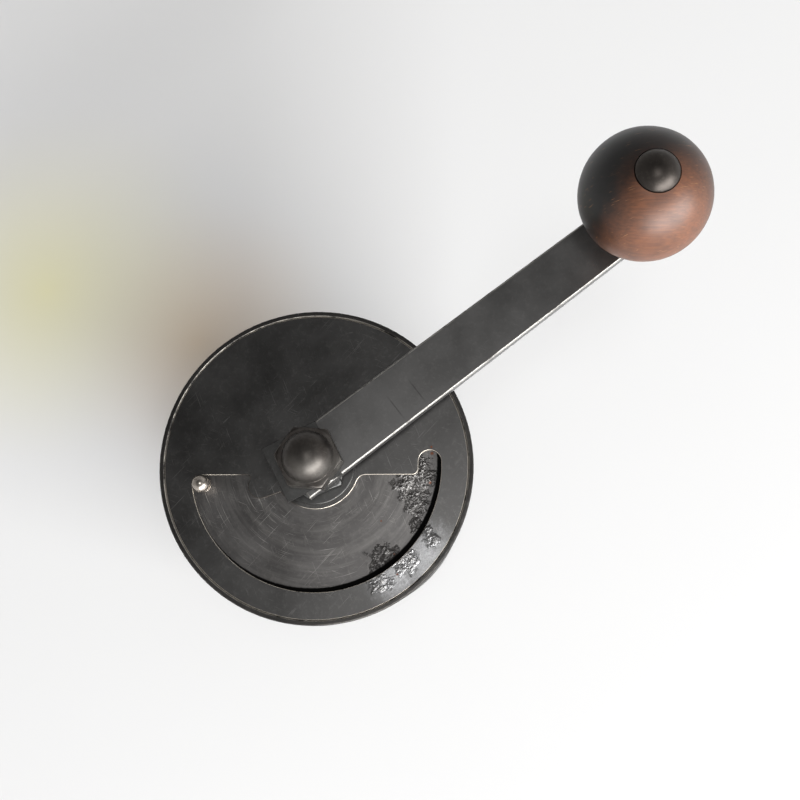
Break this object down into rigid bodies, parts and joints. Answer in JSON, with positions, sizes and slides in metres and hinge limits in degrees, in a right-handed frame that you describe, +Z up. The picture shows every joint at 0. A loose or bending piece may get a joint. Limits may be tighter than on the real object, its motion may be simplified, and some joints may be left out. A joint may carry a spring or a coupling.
{
  "type": "hand crank coffee grinder",
  "caption": "Round steel hand coffee grinder with a crank and wooden ball knob, shuttered feed opening, conical burrs and a front grounds drawer.",
  "frame": {"origin": "on the spindle axis, at the surface that the base felt stands on", "axes": "+Z up along the spindle, the grounds drawer opens towards -Y, the feed opening is on the +X side of the lid"},
  "size_m": [0.1405, 0.1815, 0.1943],
  "materials": {
    "blackened_steel": "satin blackened, edges rubbed bright",
    "worn_shutter_steel": "satin blackened, scratched and lightly rusted",
    "patinated_steel": "brown patina, rubbed on the dome",
    "bare_steel": "mill finish",
    "slotted_screw_steel": "turned, blackened",
    "cast_iron": "as cast, machined bore",
    "burr_steel": "hardened, ground",
    "spring_steel": "drawn wire",
    "brass": "turned",
    "tinned_steel": "tin plated",
    "polished_steel": "polished",
    "stained_wood": "stained, worn satin",
    "felt": "pressed wool"
  },
  "bodies": {
    "mill_body": {"body_shell": "blackened_steel", "base_plate": "bare_steel", "base_felt": "felt", "base_screws": "slotted_screw_steel", "burr_deck": "bare_steel", "deck_screws": "slotted_screw_steel", "hopper_ledge": "bare_steel", "ledge_screws": "slotted_screw_steel", "lower_bearing_bar": "cast_iron", "lower_bush": "brass", "lower_bar_screws": "slotted_screw_steel", "ring_burr": "cast_iron", "ring_burr_screws": "slotted_screw_steel", "hopper_funnel": "tinned_steel", "bearing_spider": "bare_steel", "lid_spacer": "bare_steel", "lid_plate": "blackened_steel", "bearing_housing": "blackened_steel", "upper_bush": "brass", "housing_ring_nut": "bare_steel", "spring_washer": "bare_steel", "left_drawer_runner": "bare_steel", "right_drawer_runner": "bare_steel"},
    "shutter": {"shutter_disc": "worn_shutter_steel", "shutter_knob": "polished_steel"},
    "spindle_key": {"keyed_washer": "bare_steel"},
    "grind_adjuster": {"adjusting_nut": "blackened_steel"},
    "crank": {"drive_spindle": "bare_steel", "cone_burr": "burr_steel", "burr_cross_pin": "bare_steel", "load_spring": "spring_steel", "crank_arm": "blackened_steel", "square_washer": "blackened_steel", "cap_nut": "patinated_steel", "knob_washer": "patinated_steel", "knob_pin": "patinated_steel"},
    "crank_knob": {"knob_ball": "stained_wood"},
    "drawer": {"drawer_box": "tinned_steel", "drawer_front": "blackened_steel", "drawer_knob": "stained_wood", "drawer_screw": "slotted_screw_steel"}
  },
  "joints": [
    {"name": "shutter_turn", "type": "hinge", "parent": "mill_body", "child": "shutter", "pos_m": [0, 0, 0.1378], "axis": [0, 0, 1], "range_deg": [0, 171]},
    {"name": "drawer_slide", "type": "slide", "parent": "mill_body", "child": "drawer", "axis": [0, -1, 0], "range_m": [0, 0.065]},
    {"name": "crank_spin", "type": "hinge", "parent": "mill_body", "child": "spindle_key", "pos_m": [0, 0, 0.1426], "axis": [0, 0, 1], "continuous": true},
    {"name": "grind_adjust", "type": "hinge", "parent": "spindle_key", "child": "grind_adjuster", "pos_m": [0, 0, 0.1453], "axis": [0, 0, 1], "range_deg": [0, 270]},
    {"name": "spindle_lift", "type": "slide", "parent": "spindle_key", "child": "crank", "axis": [0, 0, 1], "range_m": [0, 0.00075], "deforming": ["load_spring"]},
    {"name": "knob_spin", "type": "hinge", "parent": "crank", "child": "crank_knob", "pos_m": [-0.07316, 0.09638, 0.1731], "axis": [0, 0, 1], "continuous": true}
  ],
  "couplings": [
    {"joint": "grind_adjust", "follows": "spindle_lift", "rad_per_m": 6283.2}
  ]
}
